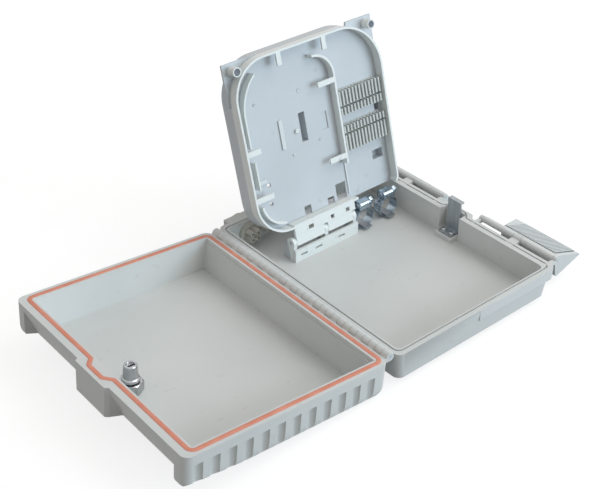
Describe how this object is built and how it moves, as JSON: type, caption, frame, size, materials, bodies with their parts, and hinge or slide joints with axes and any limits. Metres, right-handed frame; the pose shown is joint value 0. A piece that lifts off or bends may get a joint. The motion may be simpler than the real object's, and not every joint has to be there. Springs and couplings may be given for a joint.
{
  "type": "fibre termination box",
  "caption": "Wall-mounted fibre termination box opened flat, with a hinged splice tray turned up, a fluted sealed cover with lock, edge latches and cable clamps.",
  "frame": {"origin": "middle of the base's wall face, in the plane of its back rails", "axes": "+X from the cover hinge to the lock side, +Y to the cable ports, +Z away from the wall"},
  "size_m": [0.4497, 0.2545, 0.2001],
  "materials": {
    "shell_plastic": "fine matte",
    "tray_plastic": "satin",
    "holder_plastic": "satin",
    "seal_rubber": "soft matte",
    "grommet_rubber": "matte",
    "dark_rubber": "matte",
    "catch_steel": "zinc plated",
    "zinc_steel": "bright",
    "bright_metal": "polished"
  },
  "bodies": {
    "base": {"base_shell": "shell_plastic", "cover_hinge_pin": "zinc_steel", "latch_pin_near": "zinc_steel", "latch_pin_far": "zinc_steel", "tray_hinge_pin": "zinc_steel", "tray_bracket": "tray_plastic", "bracket_screws": "bright_metal", "lock_catch": "catch_steel", "lock_catch_screws": "bright_metal", "clamp_plate": "catch_steel", "clamp_plate_screws": "bright_metal", "clamp_band_inner": "zinc_steel", "clamp_housing_inner": "zinc_steel", "clamp_screw_inner": "zinc_steel", "clamp_band_outer": "zinc_steel", "clamp_housing_outer": "zinc_steel", "clamp_screw_outer": "zinc_steel", "drop_grommet": "grommet_rubber", "small_grommet": "grommet_rubber", "feeder_grommet_inner": "grommet_rubber", "feeder_grommet_outer": "grommet_rubber"},
    "cover": {"cover_shell": "shell_plastic", "gasket": "seal_rubber", "lock_barrel": "bright_metal", "lock_nut": "bright_metal"},
    "lock_spindle": {"lock_spindle": "bright_metal"},
    "tray": {"splice_tray": "tray_plastic", "splice_holder_upper": "holder_plastic", "splice_holder_lower": "holder_plastic", "tray_buffers": "dark_rubber"},
    "latch_near": {"latch_near": "shell_plastic"},
    "latch_far": {"latch_far": "shell_plastic"}
  },
  "joints": [
    {"name": "cover_hinge", "type": "hinge", "parent": "base", "child": "cover", "pos_m": [-0.0996, 0, 0.034], "axis": [0, 1, 0], "range_deg": [0, 88]},
    {"name": "lock_turn", "type": "hinge", "parent": "cover", "child": "lock_spindle", "pos_m": [-0.26836, 0, 0.03344], "axis": [0.0915, 0, 0.9958], "range_deg": [0, 90]},
    {"name": "tray_hinge", "type": "hinge", "parent": "base", "child": "tray", "pos_m": [0, 0.066, 0.027], "axis": [1, 0, 0], "range_deg": [0, 104.6]},
    {"name": "latch_near_hinge", "type": "hinge", "parent": "base", "child": "latch_near", "pos_m": [0.1064, -0.069, 0.033], "axis": [0, -1, 0], "range_deg": [-20, 133]},
    {"name": "latch_far_hinge", "type": "hinge", "parent": "base", "child": "latch_far", "pos_m": [0.1064, 0.069, 0.033], "axis": [0, -1, 0], "range_deg": [0, 153]}
  ]
}
